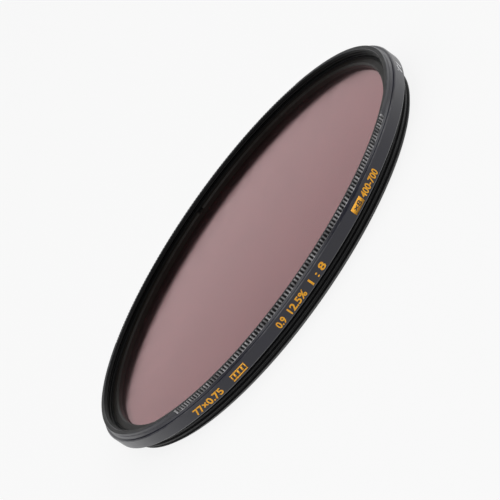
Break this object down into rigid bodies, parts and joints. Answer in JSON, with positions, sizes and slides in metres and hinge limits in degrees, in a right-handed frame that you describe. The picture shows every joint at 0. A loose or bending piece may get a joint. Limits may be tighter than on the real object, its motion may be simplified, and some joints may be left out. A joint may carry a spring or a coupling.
{
  "type": "neutral density filter",
  "caption": "Slim screw-in neutral density filter: a coated glass disc held in a turned, knurled black ring by a threaded retaining ring, with a male thread behind and a female thread in front.",
  "frame": {"origin": "on the optical axis, in the plane of the male thread's end, on which the filter lies", "axes": "+Z along the optical axis out of the front face; the middle of the printed band and of one knurled sector faces -Y; +X is to the right of that print"},
  "size_m": [0.08, 0.08, 0.006],
  "materials": {
    "anodised_frame": "black anodised, fine satin, with gold and pale grey filled engraving on the band",
    "coated_glass": "dark neutral glass with a mauve anti-reflection coating",
    "anodised_retainer": "black anodised, matt"
  },
  "bodies": {
    "root": {"frame_ring": "anodised_frame", "filter_glass": "coated_glass", "retaining_ring": "anodised_retainer"}
  },
  "joints": []
}
